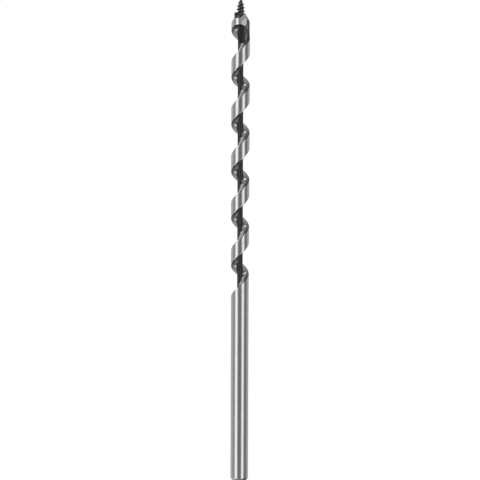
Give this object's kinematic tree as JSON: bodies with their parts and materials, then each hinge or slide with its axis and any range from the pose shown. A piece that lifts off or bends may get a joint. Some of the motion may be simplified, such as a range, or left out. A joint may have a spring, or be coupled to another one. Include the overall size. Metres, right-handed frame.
{
  "type": "auger bit",
  "caption": "Single-twist wood auger bit: plain round shank, solid centre stem with a helical flight, cutter head with an arched throat, and a threaded lead screw.",
  "frame": {"origin": "centre of the flat end face of the shank", "axes": "+Z along the bit from the shank to the screw tip; -Y is the side with the open throat, as seen in the picture; +X is to the right of it"},
  "size_m": [0.0097, 0.0096, 0.254],
  "materials": {
    "ground_steel": "bright ground land and shank, dark forged flanks",
    "black_steel": "blackened forged skin"
  },
  "bodies": {
    "bit": {"shank": "ground_steel", "stem": "black_steel", "flight": "ground_steel", "cutter_head": "ground_steel"},
    "screw_point": {"lead_screw": "black_steel"}
  },
  "joints": [
    {"name": "lead_screw_draw", "type": "slide", "parent": "bit", "child": "screw_point", "axis": [0, 0, 1], "range_m": [0, 0.008]}
  ]
}
